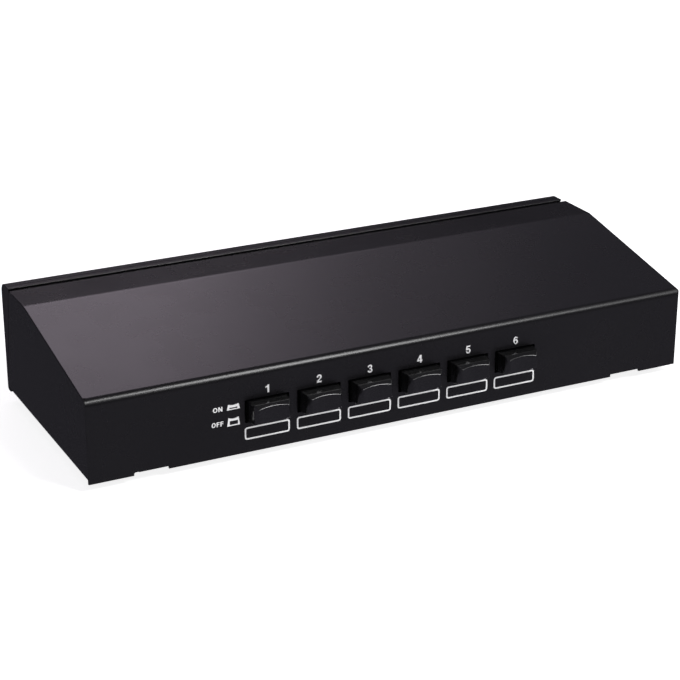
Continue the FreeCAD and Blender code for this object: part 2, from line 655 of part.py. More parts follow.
# ------------------------------------------------------------- knobs
KNOBS = []
COLUMNS = ("amp", "out1", "out2", "out3", "out4", "out5", "out6")
for c, group in enumerate(COLUMNS):
    for dx, dxe, side in ((-1, "- post_offset", "l"), (1, "+ post_offset", "r")):
        for dz, dze, pole in ((1, "+ post_offset", "plus"), (-1, "- post_offset", "minus")):
            name = "knob_%s_%s_%s" % (group, side, pole)
            b = new_body(name)
            sk = sketch_on(b, "profile_" + name, "YZ_Plane")
            polygon(sk, [
                ("knob_start", "knob_bore_r"), ("knob_bore_end", "knob_bore_r"), ("knob_bore_end", "0"),
                ("knob_end", "0"), ("knob_end", "knob_r - 0.8"), ("knob_end - 0.8", "knob_r"),
                ("knob_start + 0.5", "knob_r"), ("knob_start", "knob_r - 0.5"),
            ])
            revolve(b, "turned_" + name, sk, "Y_Axis")
            place(b, "%d * plate_pitch %s" % (3 - c, dxe), "0", "terminal_z " + dze)
            KNOBS.append(name)
doc.recompute()

# ------------------------------------------------------------- fasteners, feet


def screw(name, x, y, z, turn):
    """Pan head at the seat, shank along the local -z, then turned and placed."""
    head = doc.addObject("Part::Cylinder", name + "_head")
    bind(head, "Radius", "screw_head_r")
    bind(head, "Height", "screw_head_high")
    shank = doc.addObject("Part::Cylinder", name + "_shank")
    bind(shank, "Radius", "screw_shank_r")
    bind(shank, "Height", "screw_long + 0.2")
    bind(shank, "Placement.Base.z", "-screw_long")
    s = doc.addObject("Part::Fuse", name)
    s.Base, s.Tool = head, shank
    s.Placement = FreeCAD.Placement(V(0, 0, 0), turn)
    bind(s, "Placement.Base.x", x)
    bind(s, "Placement.Base.y", y)
    bind(s, "Placement.Base.z", z)
    return s


UP = FreeCAD.Rotation()
DOWN = FreeCAD.Rotation(V(1, 0, 0), 180)
BACK = FreeCAD.Rotation(V(1, 0, 0), -90)
screws = []
for i, xc in enumerate(("board_screw_x_a", "board_screw_x_b")):
    for j, yc in enumerate(("board_screw_y_a", "board_screw_y_b")):
        screws.append(screw("board_screw_%d%d" % (i, j), xc, yc, "button_z - switch_half_tall", UP))
for i, xc in enumerate(("-cover_screw_x", "cover_screw_x")):
    for j, yc in enumerate(("cover_screw_y_a", "cover_screw_y_b")):
        screws.append(screw("case_screw_%d%d" % (i, j), xc, yc, "chassis_bottom", DOWN))
for i in range(7):
    for j, dz in enumerate(("- plate_screw_z", "+ plate_screw_z")):
        screws.append(screw("plate_screw_%d%d" % (i, j), "%d * plate_pitch" % (i - 3),
                            "depth + plate_thick - plate_collar_high", "terminal_z " + dz, BACK))
screw_group = doc.addObject("Part::Compound", "machine_screws")
screw_group.Links = screws
screw_group.Label = "machine_screws"
place(screw_group)

feet = []
for i, xc in enumerate(("-foot_x", "foot_x")):
    for j, yc in enumerate(("foot_y_a", "foot_y_b")):
        f = doc.addObject("Part::Cone", "foot_%d%d" % (i, j))
        bind(f, "Radius1", "foot_r_low")
        bind(f, "Radius2", "foot_r")
        bind(f, "Height", "chassis_bottom - foot_low")
        bind(f, "Placement.Base.x", xc)
        bind(f, "Placement.Base.y", yc)
        bind(f, "Placement.Base.z", "foot_low")
        feet.append(f)
foot_group = doc.addObject("Part::Compound", "rubber_feet")
foot_group.Links = feet
foot_group.Label = "rubber_feet"
place(foot_group)
doc.recompute()

# ------------------------------------------------------------- hook-up wires
def bent_tube(points, radius, factor=0.45):
    """Round tube along straight runs joined by tangent arcs."""
    edges, start, length = [], points[0], 0.0
    for k in range(1, len(points) - 1):
        a, b, c = points[k - 1], points[k], points[k + 1]
        u, w = (a - b), (c - b)
        lu, lw = u.Length, w.Length
        u, w = u / lu, w / lw
        turn = math.pi - math.acos(max(-1.0, min(1.0, u.dot(w))))
        if turn < 1e-3:
            continue
        r = factor * min(lu, lw) / math.tan(turn / 2)
        r = min(r, 20.0)
        t = r * math.tan(turn / 2)
        p, q = b + u * t, b + w * t
        bis = (u + w)
        bis = bis / bis.Length
        m = b + bis * (r / math.cos(turn / 2) - r)
        edges.append(Part.LineSegment(start, p).toShape())
        arc = Part.Arc(p, m, q).toShape()
        edges.append(arc)
        start = q
    edges.append(Part.LineSegment(start, points[-1]).toShape())
    wire = Part.Wire(edges)
    length = wire.Length
    d = (points[1] - points[0])
    d = d / d.Length
    section = Part.Wire([Part.Circle(points[0], d, radius).toShape()])
    solid = wire.makePipeShell([section], True, False)
    expected = math.pi * radius ** 2 * length
    if abs(solid.Volume - expected) > 0.02 * expected:
        raise RuntimeError("a wire's volume is off: %.2f against %.2f" % (solid.Volume, expected))
    return solid


wires = []
top = P["button_z"] - P["switch_half_tall"]
for c in range(7):
    for k, (dx, dz) in enumerate(((-1, -1), (-1, 1), (1, -1), (1, 1))):
        idx = 4 * c + k
        bx = P["board_left"] + 11.0 + idx * (P["board_right"] - P["board_left"] - 22.0) / 27.0
        px = (c - 3) * P["plate_pitch"] + dx * P["post_offset"]
        pz = P["terminal_z"] + dz * P["post_offset"]
        tail = P["post_tail_end"]
        pts = [V(bx, P["board_back"] - 2.5, top + 0.05), V(bx, P["board_back"] - 2.5, top + 6.0 + 3.0 * (dz > 0)),
               V(bx + 0.15 * (px - bx), P["board_back"] + 9.0, top + 9.0 + 4.0 * (dz > 0)),
               V(px, tail - 9.0, pz), V(px, tail - 0.05, pz)]
        wires.append(bent_tube(pts, P["wire_r"]))
wire_node = doc.addObject("Part::Feature", "hookup_wires")
wire_node.Shape = Part.makeCompound(wires)
wire_node.Label = "hookup_wires"
wire_node.Placement = FreeCAD.Placement(V(0, P["shift_y"], P["shift_z"]), FreeCAD.Rotation())

doc.recompute()

# ------------------------------------------------------------- checks, export
NODES = {"top_cover": cover, "bottom_chassis": chassis, "switch_board": board,
         "binding_posts": posts, "machine_screws": screw_group, "rubber_feet": foot_group,
         "hookup_wires": wire_node, "terminal_plates": plates}
for n in range(1, 7):
    for stem in ("switch_body", "plunger", "return_spring", "button_cap"):
        NODES["%s_%d" % (stem, n)] = doc.getObject("%s_%d" % (stem, n))
for name in KNOBS:
    NODES[name] = doc.getObject(name)

bad = [o.Name for o in doc.Objects if any(s in ("Invalid", "Error") for s in o.State)]
if bad:
    raise RuntimeError("failed objects: %s" % bad)
os.makedirs("parts", exist_ok=True)
for name, obj in NODES.items():
    shape = obj.Shape
    if shape.isNull() or not shape.isValid():
        raise RuntimeError("%s has no valid shape" % name)
    if obj.Label != name:
        raise RuntimeError("%s is labelled %s" % (name, obj.Label))
for name, obj in NODES.items():
    obj.Shape.exportStep("parts/%s.step" % name)
    print("%-22s solids %2d  volume %9.1f  box %s" % (
        name, len(obj.Shape.Solids), obj.Shape.Volume,
        [round(v, 2) for v in (obj.Shape.BoundBox.XMin, obj.Shape.BoundBox.XMax, obj.Shape.BoundBox.YMin,
                               obj.Shape.BoundBox.YMax, obj.Shape.BoundBox.ZMin, obj.Shape.BoundBox.ZMax)]))
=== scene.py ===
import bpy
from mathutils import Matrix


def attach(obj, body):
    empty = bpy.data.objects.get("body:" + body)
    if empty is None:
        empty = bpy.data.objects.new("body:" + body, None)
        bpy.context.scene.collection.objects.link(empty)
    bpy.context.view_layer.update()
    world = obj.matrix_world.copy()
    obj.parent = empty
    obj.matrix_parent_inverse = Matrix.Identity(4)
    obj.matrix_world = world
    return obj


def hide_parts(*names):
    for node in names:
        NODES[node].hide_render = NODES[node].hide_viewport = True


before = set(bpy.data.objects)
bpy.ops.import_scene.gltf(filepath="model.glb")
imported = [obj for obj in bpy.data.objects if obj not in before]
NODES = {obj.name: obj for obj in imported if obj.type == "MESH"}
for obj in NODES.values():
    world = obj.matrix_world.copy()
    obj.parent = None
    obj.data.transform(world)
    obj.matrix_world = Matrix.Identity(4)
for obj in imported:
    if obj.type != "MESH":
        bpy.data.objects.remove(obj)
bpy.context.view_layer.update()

import math
import random

import bmesh
import bpy
from mathutils import Matrix, Vector
from mathutils.geometry import tessellate_polygon

random.seed(7)
SY, SZ = -61.725, 4.0          # drawing axes (front face, lip bottom) to the part's frame, mm


def W(x, y, z):
    """Drawing millimetres to the part's frame in metres."""
    return Vector((x / 1000.0, (y + SY) / 1000.0, (z + SZ) / 1000.0))


# ------------------------------------------------------------------ camera
cam_data = bpy.data.cameras.new("photo_camera")
cam = bpy.data.objects.new("photo_camera", cam_data)
bpy.context.scene.collection.objects.link(cam)
bpy.context.scene.camera = cam
right = Vector((0.89662655, -0.44278652, -0.00096499))
down = Vector((-0.1668126, -0.33576905, -0.92705593))
ahead = Vector((0.41016386, 0.83138393, -0.37492181))
rot = Matrix((right, -down, -ahead)).transposed()
cam.matrix_world = Matrix.Translation(W(-381.80, -710.29, 365.38)) @ rot.to_4x4()
cam_data.sensor_fit = "HORIZONTAL"
cam_data.sensor_width = 36.0
cam_data.lens = 102.8509
cam_data.clip_start, cam_data.clip_end = 0.05, 50.0

# --------------------------------------------------------------- materials


def new_mat(name):
    m = bpy.data.materials.new(name)
    m.use_nodes = True
    nt = m.node_tree
    for n in list(nt.nodes):
        nt.nodes.remove(n)
    out = nt.nodes.new("ShaderNodeOutputMaterial")
    p = nt.nodes.new("ShaderNodeBsdfPrincipled")
    nt.links.new(p.outputs["BSDF"], out.inputs["Surface"])
    return m, nt, p


def coords(nt):
    return nt.nodes.new("ShaderNodeTexCoord").outputs["Object"]


def noise(nt, vec, scale, detail=2.0, rough=0.5):
    n = nt.nodes.new("ShaderNodeTexNoise")
    n.inputs["Scale"].default_value = scale
    n.inputs["Detail"].default_value = detail
    n.inputs["Roughness"].default_value = rough
    nt.links.new(vec, n.inputs["Vector"])
    return n.outputs["Fac"]


def ramp(nt, fac, stops):
    r = nt.nodes.new("ShaderNodeValToRGB")
    nt.links.new(fac, r.inputs["Fac"])
    e = r.color_ramp.elements
    while len(e) > 1:
        e.remove(e[-1])
    e[0].position, e[0].color = stops[0][0], stops[0][1]
    for pos, col in stops[1:]:
        k = e.new(pos)
        k.color = col
    return r.outputs["Color"]


def grey(v, a=1.0):
    return (v, v, v, a)


def remap(nt, fac, a0, a1, b0, b1):
    m = nt.nodes.new("ShaderNodeMapRange")
    m.inputs["From Min"].default_value = a0
    m.inputs["From Max"].default_value = a1
    m.inputs["To Min"].default_value = b0
    m.inputs["To Max"].default_value = b1
    nt.links.new(fac, m.inputs["Value"])
    return m.outputs["Result"]


def bump(nt, p, height, strength, distance, chain=None):
    b = nt.nodes.new("ShaderNodeBump")
    b.inputs["Strength"].default_value = strength
    b.inputs["Distance"].default_value = distance
    nt.links.new(height, b.inputs["Height"])
    if chain is not None:
        nt.links.new(chain, b.inputs["Normal"])
    nt.links.new(b.outputs["Normal"], p.inputs["Normal"])
    return b.outputs["Normal"]


def coat_paint(name, base, rough, spec=0.5, grain=0.00035, depth=0.000007, level=0.30):
    """Satin powder coat: fine orange peel, slight cloudiness, faint speckle."""
    m, nt, p = new_mat(name)
    v = coords(nt)
    cloud = noise(nt, v, 14.0, 3.0)
    speck = noise(nt, v, 2600.0, 1.0)
    lo = tuple(c * 0.88 for c in base) + (1.0,)
    hi = tuple(c * 1.12 for c in base) + (1.0,)
    col = ramp(nt, cloud, [(0.3, lo), (0.7, hi)])
    mix = nt.nodes.new("ShaderNodeMix")
    mix.data_type = "RGBA"
    mix.blend_type = "MULTIPLY"
    mix.inputs["Factor"].default_value = 0.5
    nt.links.new(col, mix.inputs[6])
    nt.links.new(ramp(nt, speck, [(0.35, grey(0.75)), (0.65, grey(1.0))]), mix.inputs[7])
    nt.links.new(mix.outputs[2], p.inputs["Base Color"])
    nt.links.new(remap(nt, noise(nt, v, 45.0, 4.0), 0.3, 0.7, rough - 0.012, rough + 0.012), p.inputs["Roughness"])
    p.inputs["Specular IOR Level"].default_value = spec
    n1 = bump(nt, p, noise(nt, v, 1.0 / grain, 2.0), level, depth)
    bump(nt, p, noise(nt, v, 0.35 / grain, 1.0), level * 0.5, depth * 2.0, n1)
    return m


def plastic(name, base, rough, spec=0.5, peel=900.0, depth=0.000004, level=0.25, var=0.15):
    m, nt, p = new_mat(name)
    v = coords(nt)
    lo = tuple(c * (1 - var) for c in base) + (1.0,)
    hi = tuple(c * (1 + var) for c in base) + (1.0,)
    nt.links.new(ramp(nt, noise(nt, v, 60.0, 3.0), [(0.3, lo), (0.7, hi)]), p.inputs["Base Color"])
    nt.links.new(remap(nt, noise(nt, v, 220.0, 3.0), 0.3, 0.7, rough * 0.88, rough * 1.12), p.inputs["Roughness"])
    p.inputs["Specular IOR Level"].default_value = spec
    bump(nt, p, noise(nt, v, peel, 2.0), level, depth)
    return m


def metal(name, base, rough, lines=None):
    m, nt, p = new_mat(name)
    v = coords(nt)
    p.inputs["Metallic"].default_value = 1.0
    lo = tuple(c * 0.9 for c in base) + (1.0,)
    hi = tuple(min(1.0, c * 1.08) for c in base) + (1.0,)
    nt.links.new(ramp(nt, noise(nt, v, 300.0, 3.0), [(0.3, lo), (0.7, hi)]), p.inputs["Base Color"])
    nt.links.new(remap(nt, noise(nt, v, 900.0, 3.0), 0.3, 0.7, rough * 0.8, rough * 1.2), p.inputs["Roughness"])
    bump(nt, p, noise(nt, v, 1500.0, 2.0), 0.2, 0.000004)
    return m


M_CASE = coat_paint("case_paint", (0.0070, 0.0066, 0.0076), 0.27)
M_CHASSIS = coat_paint("chassis_paint", (0.0070, 0.0066, 0.0076), 0.29)
M_CAP = plastic("cap_plastic", (0.0035, 0.0035, 0.0038), 0.17, spec=0.9, peel=700.0, depth=0.0000008)
M_INK = plastic("print_ink", (0.86, 0.86, 0.86), 0.45, spec=0.4, peel=2500.0, depth=0.000003, var=0.02)
M_PLATE = plastic("plate_plastic", (0.016, 0.016, 0.017), 0.48, peel=2200.0, depth=0.000012, level=0.4)
M_KNOB_R = plastic("knob_red", (0.42, 0.012, 0.014), 0.26, var=0.06)
M_KNOB_K = plastic("knob_black", (0.012, 0.012, 0.0125), 0.28)
M_POST = metal("post_metal", (0.86, 0.66, 0.30), 0.22)
M_SCREW = metal("screw_steel", (0.055, 0.055, 0.058), 0.38)
M_RUBBER = plastic("foot_rubber", (0.018, 0.018, 0.018), 0.75, spec=0.3, peel=1600.0, depth=0.00002, level=0.5)
M_BOARD = plastic("board_laminate", (0.03, 0.16, 0.06), 0.35)
M_HOUSING = plastic("switch_housing", (0.035, 0.035, 0.038), 0.5)
M_SPRING = metal("spring_steel", (0.62, 0.62, 0.63), 0.25)
M_PLUNGER = plastic("plunger_plastic", (0.72, 0.70, 0.64), 0.45, var=0.04)
M_WIRE = plastic("wire_sleeve", (0.32, 0.02, 0.02), 0.5)


# ------------------------------------------------------------- mesh helpers


def link(name, mesh):
    ob = bpy.data.objects.new(name, mesh)
    bpy.context.scene.collection.objects.link(ob)
    return ob


def from_bm(name, bm, mat=None):
    bmesh.ops.recalc_face_normals(bm, faces=bm.faces)
    me = bpy.data.meshes.new(name)
    bm.to_mesh(me)
    bm.free()
    ob = link(name, me)
    if mat:
        me.materials.append(mat)
    return ob


def prism_x(poly, x0, x1):
    """Closed prism: a (y, z) outline drawn from x0 to x1. Returns a bmesh."""
    bm = bmesh.new()
    a = [bm.verts.new(W(x0, y, z)) for y, z in poly]
    b = [bm.verts.new(W(x1, y, z)) for y, z in poly]
    n = len(poly)
    for i in range(n):
        j = (i + 1) % n
        bm.faces.new((a[i], a[j], b[j], b[i]))
    bm.faces.new(a[::-1])
    bm.faces.new(b)
    return bm


def box_bm(x0, x1, y0, y1, z0, z1):
    return prism_x([(y0, z0), (y1, z0), (y1, z1), (y0, z1)], x0, x1)


def apply_mods(ob):
    dg = bpy.context.evaluated_depsgraph_get()
    me = bpy.data.meshes.new_from_object(ob.evaluated_get(dg), preserve_all_data_layers=True, depsgraph=dg)
    old = ob.data
    ob.modifiers.clear()
    ob.data = me
    if old.users == 0:
        bpy.data.meshes.remove(old)


def boolean(ob, other, op="DIFFERENCE"):
    m = ob.modifiers.new("b", "BOOLEAN")
    m.operation = op
    m.solver = "EXACT"
    m.object = other
    apply_mods(ob)
    me = other.data
    bpy.data.objects.remove(other)
    if me.users == 0:
        bpy.data.meshes.remove(me)


def weights(ob, pick, width, segments, profile=0.5):
    """Rounds the edges for which pick returns a weight above nought."""
    me = ob.data
    att = me.attributes.get("bevel_weight_edge") or me.attributes.new("bevel_weight_edge", "FLOAT", "EDGE")
    for e in me.edges:
        a, b = me.vertices[e.vertices[0]].co, me.vertices[e.vertices[1]].co
        att.data[e.index].value = pick(a, b)
    m = ob.modifiers.new("bevel", "BEVEL")
    m.limit_method = "WEIGHT"
    m.width = width
    m.segments = segments
    m.profile = profile
    m.use_clamp_overlap = True
    apply_mods(ob)
    att = ob.data.attributes.get("bevel_weight_edge")
    if att:
        ob.data.attributes.remove(att)


def small_bevel(ob, width, segments=2, angle=50.0):
    m = ob.modifiers.new("edge", "BEVEL")
    m.limit_method = "ANGLE"
    m.angle_limit = math.radians(angle)
    m.width = width
    m.segments = segments
    m.use_clamp_overlap = True
    apply_mods(ob)


def shade(ob, angle=33.0):
    """Smooth faces, sharp where the surface turns more than the angle, flats kept flat."""
    me = ob.data
    bm = bmesh.new()
    bm.from_mesh(me)
    bmesh.ops.remove_doubles(bm, verts=bm.verts, dist=1e-7)
    lim = math.radians(angle)
    for f in bm.faces:
        f.smooth = True
    for e in bm.edges:
        e.smooth = not (len(e.link_faces) == 2 and e.calc_face_angle(0.0) > lim)
    bm.to_mesh(me)
    bm.free()
    m = ob.modifiers.new("normals", "WEIGHTED_NORMAL")
    m.mode = "FACE_AREA"
    m.weight = 50
    m.keep_sharp = True
    apply_mods(ob)


def arc(cx, cy, r, a0, a1, n, ry=None):
    ry = r if ry is None else ry
    out = []
    for i in range(n + 1):
        t = math.radians(a0 + (a1 - a0) * i / n)
        out.append((cx + r * math.cos(t), cy + ry * math.sin(t)))
    return out


def revolve_y(profile, cx, cz, n, bm=None, wave=None):
    """Turns a closed (y, r) profile round the axis x=cx, z=cz. r = 0 ends close in a point."""
    bm = bm or bmesh.new()
    rings = []
    for k, (y, r) in enumerate(profile):
        if r < 1e-6:
            rings.append([bm.verts.new(W(cx, y, cz))])
            continue
        ring = []
        for i in range(n):
            t = 2 * math.pi * i / n
            rr = r if wave is None else r + wave(k, y, r, t)
            ring.append(bm.verts.new(W(cx + rr * math.cos(t), y, cz + rr * math.sin(t))))
        rings.append(ring)
    for k in range(len(rings)):
        a, b = rings[k], rings[(k + 1) % len(rings)]
        if len(a) == 1 and len(b) == 1:
            continue
        for i in range(n):
            j = (i + 1) % n
            if len(a) == 1:
                bm.faces.new((a[0], b[i], b[j]))
            elif len(b) == 1:
                bm.faces.new((a[i], b[0], a[j]))
            else:
                bm.faces.new((a[i], b[i], b[j], a[j]))
    return bm


# ---------------------------------------------------------------- top cover
F_H, R_H, BEND, STRIP, FOOT, SIDE = 38.3, 53.7, 79.3, 101.7, 112.0, 2.0
slope = math.atan2(R_H - F_H, BEND)
outer = [(0, 0), (0, F_H), (BEND, R_H), (STRIP, R_H), (FOOT, SIDE), (1.0, SIDE), (1.0, 0)]
cover = from_bm("cover_shell", prism_x(outer, -150, 150), M_CASE)


def drawn(v):
    return v.x * 1000.0, v.y * 1000.0 - SY, v.z * 1000.0 - SZ


def cover_edges(a, b):
    ax, ay, az = drawn(a)
    bx, by, bz = drawn(b)
    tol = 0.05
    if abs(ay) < tol and abs(by) < tol and abs(az - F_H) < tol and abs(bz - F_H) < tol:
        return 1.0                     # front top bend
    if abs(ay - BEND) < tol and abs(by - BEND) < tol and abs(ax - bx) > 100:
        return 0.40                    # soft bend between slope and strip
    if abs(abs(ax) - 150) < tol and abs(ax - bx) < tol:
        if abs(ay) < tol and abs(by) < tol:
            return 0.18                # upright front corners
        if min(az, bz) > F_H - tol:
            return 0.14                # along the slope and the strip
    return 0.0


weights(cover, cover_edges, 0.00300, 12)
zi = F_H - (1.0 / math.cos(slope) - math.tan(slope))
inner = [(1.0, -6), (1.0, zi), (BEND + math.tan(slope / 2), R_H - 1.0), (130, R_H - 1.0), (130, -6)]
boolean(cover, from_bm("cut", prism_x(inner, -149, 149)))
# tongue under the rear flange
boolean(cover, from_bm("tongue", box_bm(-145.5, 145.5, STRIP - 2.0, 106.5, R_H - 1.0, R_H - 0.02)), "UNION")

# button openings, with small corner radii
BX = [-66.9 + 25.17 * i for i in range(6)]
BZ = 19.62
OW, OH, OR = 21.3 / 2, 10.85 / 2, 0.45


def rounded(cx, cz, hw, hh, r, n=5):
    pts = []
    for sx, sz, a in ((1, 1, 0), (-1, 1, 90), (-1, -1, 180), (1, -1, 270)):
        pts += arc(cx + sx * (hw - r), cz + sz * (hh - r), r, a, a + 90, n)
    return pts


def prism_y(poly, y0, y1, bm=None):
    """Closed prism: an (x, z) outline drawn from y0 to y1."""
    bm = bm or bmesh.new()
    a = [bm.verts.new(W(x, y0, z)) for x, z in poly]
    b = [bm.verts.new(W(x, y1, z)) for x, z in poly]
    n = len(poly)
    for i in range(n):
        j = (i + 1) % n
        bm.faces.new((a[i], a[j], b[j], b[i]))
    bm.faces.new(a[::-1])
    bm.faces.new(b)
    return bm


bm = bmesh.new()
for x in BX:
    prism_y(rounded(x, BZ, OW, OH, OR), -3, 4, bm)
boolean(cover, from_bm("cut", bm))
# lip notches; the left one has a deeper rounded end where the tray is cut back
bm = bmesh.new()
prism_y([(-129.5, -2), (-113.5, -2), (-113.5, 1.3), (-113.8, 1.5), (-128.6, 1.5), (-129.2, 1.35), (-129.5, 0.9)][::-1], -3, 4, bm)
prism_y([(112.9, -2), (129.2, -2), (129.2, 0.7), (128.4, 1.35), (127.6, 1.5), (113.2, 1.5), (112.9, 1.3)][::-1], -3, 4, bm)
boolean(cover, from_bm("cut", bm))
# bend reliefs at the two front top corners
for s in (-1, 1):
    bm = prism_y([(s * 149.3 + x, F_H + 0.55 + z) for x, z in arc(0, 0, 0.42, 0, 337.5, 15)], -2, 3.2)
    boolean(cover, from_bm("cut", bm))
small_bevel(cover, 0.00012, 2, 55)
shade(cover, 30)
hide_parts("top_cover")
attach(cover, "case")

# ------------------------------------------------------------------ chassis
DEP, CH, CB, FT, FF, TH = 113.3, 148.6, 0.6, 54.7, 102.05, 0.80
FL, FR, RB = -150.0, 147.2, 5.2
# rear sheet in section: bent up from the plate, over at the top, edge rounded
prof = [(DEP - 4.0, CB + 1), (DEP - 4.0, CB)]
prof += arc(DEP - 1.5, CB + 1.5, 1.5, -90, 0, 6)
prof += arc(DEP - RB, FT - RB, RB, 0, 90, 14)
prof += arc(FF + TH / 2, FT - TH / 2, TH / 2, 90, 270, 10)
prof += arc(DEP - RB, FT - RB, RB - TH, 90, 0, 12)
prof += arc(DEP - 1.5, CB + 1.5, 0.5, 0, -90, 4)
tray = from_bm("chassis_shell", prism_x(prof, FL, FR), M_CHASSIS)
# the folded edge of the flange shows as a faint line on top
boolean(tray, from_bm("hem", prism_x([(104.95, FT - 0.14), (105.12, FT + 0.2), (105.28, FT + 0.2), (105.45, FT - 0.14), (105.2, FT - 0.2)], FL - 1, FR + 1)))
boolean(tray, from_bm("plate", prism_x([(1.3, CB), (DEP - 3.0, CB), (DEP - 3.0, CB + 1), (1.3, CB + 1)], -CH, CH)), "UNION")
bend = [(DEP - 0.5, FT - RB)] + arc(DEP - RB, FT - RB, RB - TH / 2, 0, 90, 6)[1:]
inner_return = [(95.0, CB + 0.5), (DEP - 0.5, CB + 0.5)] + bend + [(102.8, FT - TH / 2), (102.8, 52.3), (99.0, 52.3), (95.0, 43.7)]
for x in (-CH, FR - 1.0):
    boolean(tray, from_bm("ret", prism_x(inner_return, x, x + 1.0)), "UNION")
flush_return = [(DEP - 0.5, CB + 0.5)] + bend + [(FF + 0.1, FT - TH / 2), (102.15, 53.3), (112.35, 2.4), (112.35, CB + 0.5)]
boolean(tray, from_bm("ret", prism_x(flush_return, FL, FL + 1.0)), "UNION")
# corners of the plate's front edge are set back
boolean(tray, from_bm("cut", box_bm(-152, -126.8, -1, 6, -1, 4)))
boolean(tray, from_bm("cut", box_bm(129.8, 152, -1, 6, -1, 4)))
# four brackets for the board
BLOW = 19.62 - 6.25 - 1.6
for xc, sgn in ((-85.0, 1), (77.0, -1)):
    for yc in (18.5, 53.5):
        x0, x1 = sorted((xc - sgn * 4.0, xc + sgn * 5.0))
        l0, l1 = sorted((xc + sgn * 4.0, xc + sgn * 5.0))
        boolean(tray, from_bm("leg", prism_x([(yc - 4, CB + 0.5), (yc + 4, CB + 0.5), (yc + 4, BLOW), (yc - 4, BLOW)], l0, l1)), "UNION")
        boolean(tray, from_bm("top", prism_x([(yc - 4, BLOW - 1), (yc + 4, BLOW - 1), (yc + 4, BLOW), (yc - 4, BLOW)], x0, x1)), "UNION")
small_bevel(tray, 0.00010, 2, 60)
shade(tray, 30)
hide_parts("bottom_chassis")
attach(tray, "case")

# ------------------------------------------------------------- button caps
CAP = dict(bw=9.7, bt=4.86, kw=8.6, kt=4.6, ko=5.5, out=7.9, fw=7.05, ft=3.0, dish=0.9, back=4.5)


def make_cap():
    c = CAP
    R = (c["fw"] ** 2 + c["dish"] ** 2) / (2 * c["dish"])
    N = 24
    xs = [-1 + 2 * i / N for i in range(N + 1)]
    lean = (c["kt"] - c["ft"]) / (c["out"] - c["ko"])

    def dish(x):
        return math.sqrt(R * R - x * x) - (R - c["dish"])

    bm = bmesh.new()

    def row(y_of, half_w, z_of):
        return [bm.verts.new(Vector((u * half_w, y_of(u * half_w), z_of(u * half_w)))) for u in xs]

    yf = lambda x: -c["out"] + dish(x)
    zf = lambda x: c["ft"] + lean * dish(x)
    M = 8
    # the front face as a grid between its curved lower and upper edges
    face = [row(yf, c["fw"], (lambda k: (lambda x: zf(x) * (-1 + 2 * k / M)))(k)) for k in range(M + 1)]
    for k in range(M):
        for i in range(N):
            bm.faces.new((face[k][i], face[k][i + 1], face[k + 1][i + 1], face[k + 1][i]))
    loops = []
    loops.append([face[M][i] for i in range(N + 1)] + [face[k][N] for k in range(M - 1, 0, -1)]
                 + [face[0][i] for i in range(N, -1, -1)] + [face[k][0] for k in range(1, M)])

    def ring(y, w, t):
        v = [Vector((u * w, y, t)) for u in xs]
        v += [Vector((w, y, t * (-1 + 2 * k / M))) for k in range(M - 1, 0, -1)]
        v += [Vector((u * w, y, -t)) for u in reversed(xs)]
        v += [Vector((-w, y, t * (-1 + 2 * k / M))) for k in range(1, M)]
        return [bm.verts.new(p) for p in v]

    loops.append(ring(-c["ko"], c["kw"], c["kt"]))
    loops.append(ring(0.0, c["bw"], c["bt"]))
    loops.append(ring(c["back"], c["bw"], c["bt"]))
    for a, b in zip(loops, loops[1:]):
        n = len(a)
        for i in range(n):
            j = (i + 1) % n
            bm.faces.new((a[i], b[i], b[j], a[j]))
    bm.faces.new(loops[-1])
    for v in bm.verts:
        v.co = v.co / 1000.0
    bmesh.ops.recalc_face_normals(bm, faces=bm.faces)
    me = bpy.data.meshes.new("cap")
    bm.to_mesh(me)
    bm.free()
    ob = link("cap_master", me)
    me.materials.append(M_CAP)

    def pick(a, b):
        ax, ay, az = [v * 1000 for v in a]
        bx, by, bz = [v * 1000 for v in b]

        def rim(x, y, z):
            e = abs(abs(z) - zf(x)) < 0.02 if abs(x) <= c["fw"] + 0.01 and y < -c["ko"] - 0.3 else False
            s = abs(abs(x) - c["fw"]) < 0.02 and y < -c["ko"] - 0.3
            return e, s
        ea, sa = rim(ax, ay, az)
        eb, sb = rim(bx, by, bz)
        if ea and eb and az * bz > 0 and abs(ay - by) < 0.2:
            return 1.0
        if sa and sb and abs(ax - bx) < 0.01:
            return 1.0
        if abs(ay + c["ko"]) < 0.01 and abs(by + c["ko"]) < 0.01:
            return 1.0
        # corner edges running back from the face
        if abs(ay - by) > 0.5 and abs(abs(az) - abs(bz)) < 2.2 and abs(ax) > c["fw"] - 0.02 and abs(bx) > c["fw"] - 0.02:
            ca = abs(az) > c["ft"] - 0.02 and (abs(ax) > c["kw"] - 0.02 and abs(az) > c["kt"] - 0.02 or ay < -c["ko"] - 0.3)
            cb = abs(bz) > c["ft"] - 0.02 and (abs(bx) > c["kw"] - 0.02 and abs(bz) > c["kt"] - 0.02 or by < -c["ko"] - 0.3)
            if ca and cb and az * bz > 0 and ax * bx > 0:
                return 1.0
        return 0.0

    weights(ob, pick, 0.00030, 4)
    small_bevel(ob, 0.0002, 2, 60)
    shade(ob, 40)
    return ob


cap_master = make_cap()
for i in range(6):
    me = cap_master.data.copy()
    me.transform(Matrix.Translation(W(BX[i], 0, BZ)))
    ob = link("cap_%d" % (i + 1), me)
    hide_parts("button_cap_%d" % (i + 1))
    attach(ob, "button_%d" % (i + 1))
bpy.data.objects.remove(cap_master)

# ------------------------------------------------------------ white printing
INK_Y0, INK_Y1 = -0.035, 0.004


